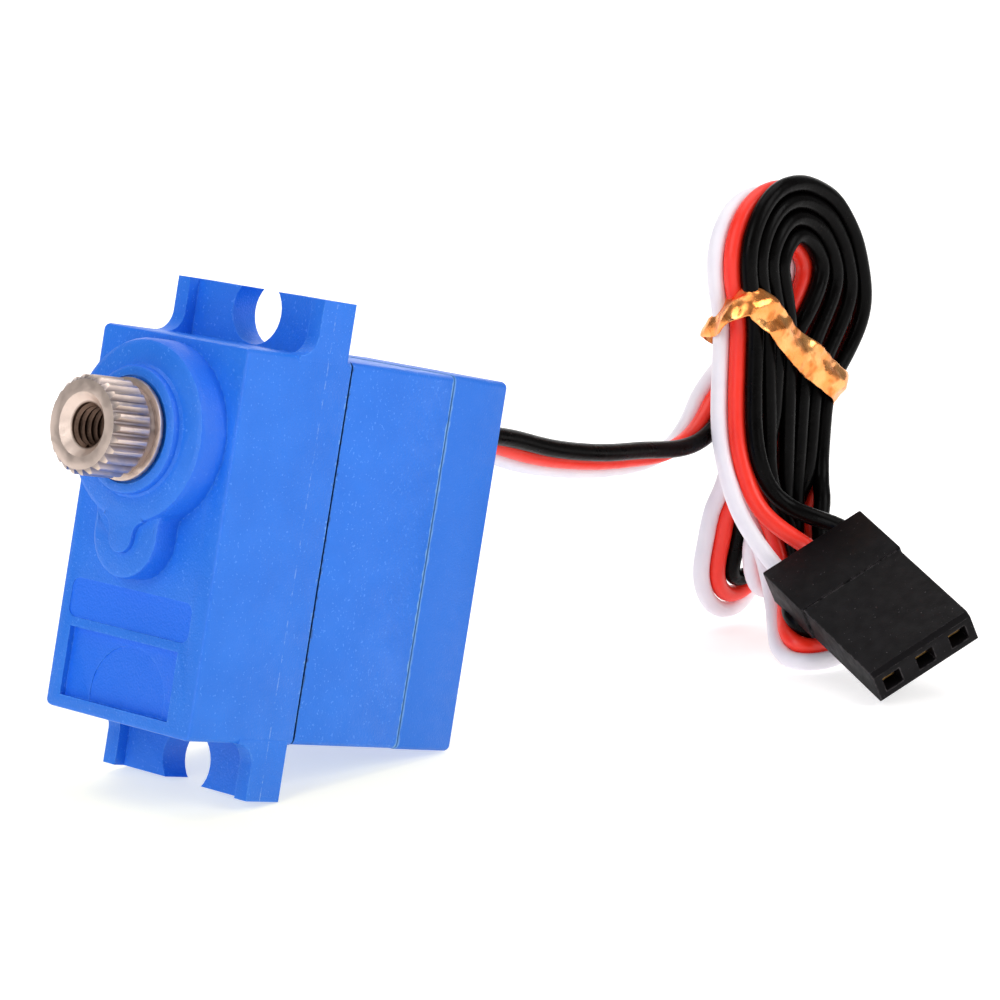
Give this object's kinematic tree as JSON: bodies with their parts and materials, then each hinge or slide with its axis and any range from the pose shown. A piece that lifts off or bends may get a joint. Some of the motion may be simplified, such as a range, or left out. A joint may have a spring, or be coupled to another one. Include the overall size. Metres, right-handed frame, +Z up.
{
  "type": "hobby servo motor",
  "caption": "Micro hobby servo with slotted mounting ears, a splined metal output shaft on a coupled gear train, and a flat lead tied in a hank that ends in its connector.",
  "frame": {"origin": "middle of the servo's own box at the surface it stands on, measured without the lead and what is on it", "axes": "+X runs level from the output shaft's end towards the bottom cover and the lead, +Y across the width, +Z up. The servo lies tilted by 13.1 degrees, with the shaft end raised, on its lower ear and the edge of its bottom cover."},
  "size_m": [0.0698, 0.0283, 0.0312],
  "materials": {
    "case_blue": "fine moulded matt",
    "screw_steel": "zinc plated",
    "nickel_steel": "nickel plated, satin",
    "gear_brass": "machined",
    "armature_copper": "wound copper and steel",
    "dark_plastic": "moulded",
    "tinned_metal": "tinned",
    "pale_resin": "moulded",
    "board_green": "solder mask",
    "grommet_rubber": "matt",
    "black_wire": "satin vinyl",
    "red_wire": "satin vinyl",
    "white_wire": "satin vinyl",
    "gold_foil": "crinkled foil",
    "contact_gold": "gold plated"
  },
  "bodies": {
    "servo_body": {"upper_case": "case_blue", "middle_case": "case_blue", "bottom_cover": "case_blue", "case_screw_1": "screw_steel", "case_screw_2": "screw_steel", "case_screw_3": "screw_steel", "case_screw_4": "screw_steel", "output_bush": "gear_brass", "idler_pin": "nickel_steel", "motor_can": "nickel_steel", "motor_end_cap": "dark_plastic", "motor_terminal_1": "tinned_metal", "motor_terminal_2": "tinned_metal", "potentiometer_body": "dark_plastic", "potentiometer_leg_1": "tinned_metal", "potentiometer_leg_2": "tinned_metal", "potentiometer_leg_3": "tinned_metal", "circuit_board": "board_green", "controller_chip": "dark_plastic", "motor_driver_chip": "dark_plastic", "capacitor": "pale_resin", "cable_grommet": "grommet_rubber", "black_wire_tail": "black_wire", "red_wire_tail": "red_wire", "white_wire_tail": "white_wire", "lead_to_hank": "black_wire", "lead_hank": "black_wire", "twist_tie": "gold_foil", "lead_to_connector": "black_wire", "connector_housing": "dark_plastic", "connector_contact_1": "contact_gold", "connector_contact_2": "contact_gold", "connector_contact_3": "contact_gold"},
    "output_drive": {"output_gear_shaft": "nickel_steel", "potentiometer_wiper": "pale_resin"},
    "gear_three": {"gear_3": "nickel_steel"},
    "gear_two": {"gear_2": "gear_brass"},
    "gear_one": {"gear_1": "gear_brass"},
    "motor_rotor": {"motor_pinion": "gear_brass", "motor_armature": "armature_copper"}
  },
  "joints": [
    {"name": "motor_spin", "type": "hinge", "parent": "servo_body", "child": "motor_rotor", "pos_m": [0.00076, 0, 0.00757], "axis": [-0.974, 0, 0.2266], "range_deg": [-17778, 17778]},
    {"name": "gear_one_spin", "type": "hinge", "parent": "servo_body", "child": "gear_one", "pos_m": [-0.00281, 0, 0.01431], "axis": [-0.974, 0, 0.2266], "range_deg": [-4938.5, 4938.5]},
    {"name": "gear_two_spin", "type": "hinge", "parent": "servo_body", "child": "gear_two", "pos_m": [-0.00243, 0, 0.02038], "axis": [-0.974, 0, 0.2266], "range_deg": [-1299.7, 1299.7]},
    {"name": "gear_three_spin", "type": "hinge", "parent": "servo_body", "child": "gear_three", "pos_m": [-0.00573, 0, 0.01499], "axis": [-0.974, 0, 0.2266], "range_deg": [-342.1, 342.1]},
    {"name": "output_turn", "type": "hinge", "parent": "servo_body", "child": "output_drive", "pos_m": [-0.0144, 0, 0.02316], "axis": [-0.974, 0, 0.2266], "range_deg": [-90, 90]}
  ],
  "couplings": [
    {"joint": "gear_one_spin", "follows": "motor_spin", "ratio": -0.27778},
    {"joint": "gear_two_spin", "follows": "motor_spin", "ratio": 0.073099},
    {"joint": "gear_three_spin", "follows": "motor_spin", "ratio": -0.019237},
    {"joint": "output_turn", "follows": "motor_spin", "ratio": 0.0050623}
  ]
}
